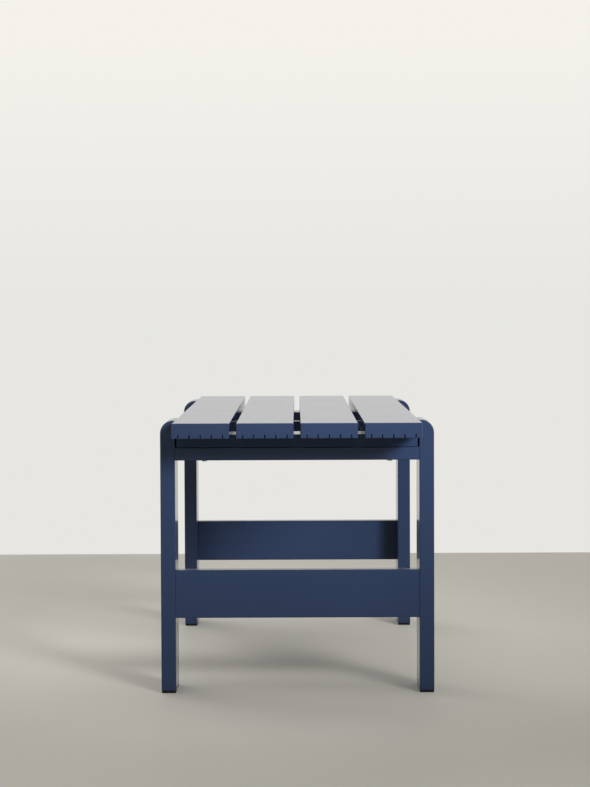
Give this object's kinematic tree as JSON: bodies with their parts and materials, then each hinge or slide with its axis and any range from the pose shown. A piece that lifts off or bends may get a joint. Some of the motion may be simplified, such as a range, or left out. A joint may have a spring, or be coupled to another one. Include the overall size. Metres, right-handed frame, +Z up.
{
  "type": "dining table",
  "caption": "Rectangular slatted dining table: grooved planks on cross battens, carried by two leg frames with low stretchers and rounded leg shoulders.",
  "frame": {"origin": "on the floor under the middle of the table", "axes": "+X across the table to the right as the picture shows it, +Y along its length away from the picture's camera, +Z up"},
  "size_m": [0.738, 1.8, 0.74],
  "materials": {
    "navy_lacquered_wood": "satin",
    "black_plastic": "matte",
    "zinc_plated_steel": "satin",
    "brass": "satin"
  },
  "bodies": {
    "root": {"left_outer_plank": "navy_lacquered_wood", "left_inner_plank": "navy_lacquered_wood", "right_inner_plank": "navy_lacquered_wood", "right_outer_plank": "navy_lacquered_wood", "front_batten": "navy_lacquered_wood", "middle_batten": "navy_lacquered_wood", "rear_batten": "navy_lacquered_wood", "front_top_rail": "navy_lacquered_wood", "front_stretcher": "navy_lacquered_wood", "front_left_leg": "navy_lacquered_wood", "front_right_leg": "navy_lacquered_wood", "rear_top_rail": "navy_lacquered_wood", "rear_stretcher": "navy_lacquered_wood", "rear_left_leg": "navy_lacquered_wood", "rear_right_leg": "navy_lacquered_wood", "front_left_foot": "black_plastic", "front_right_foot": "black_plastic", "rear_left_foot": "black_plastic", "rear_right_foot": "black_plastic", "plank_screws": "zinc_plated_steel", "top_bolts": "zinc_plated_steel", "top_bolt_washers": "zinc_plated_steel", "threaded_inserts": "brass"}
  },
  "joints": []
}
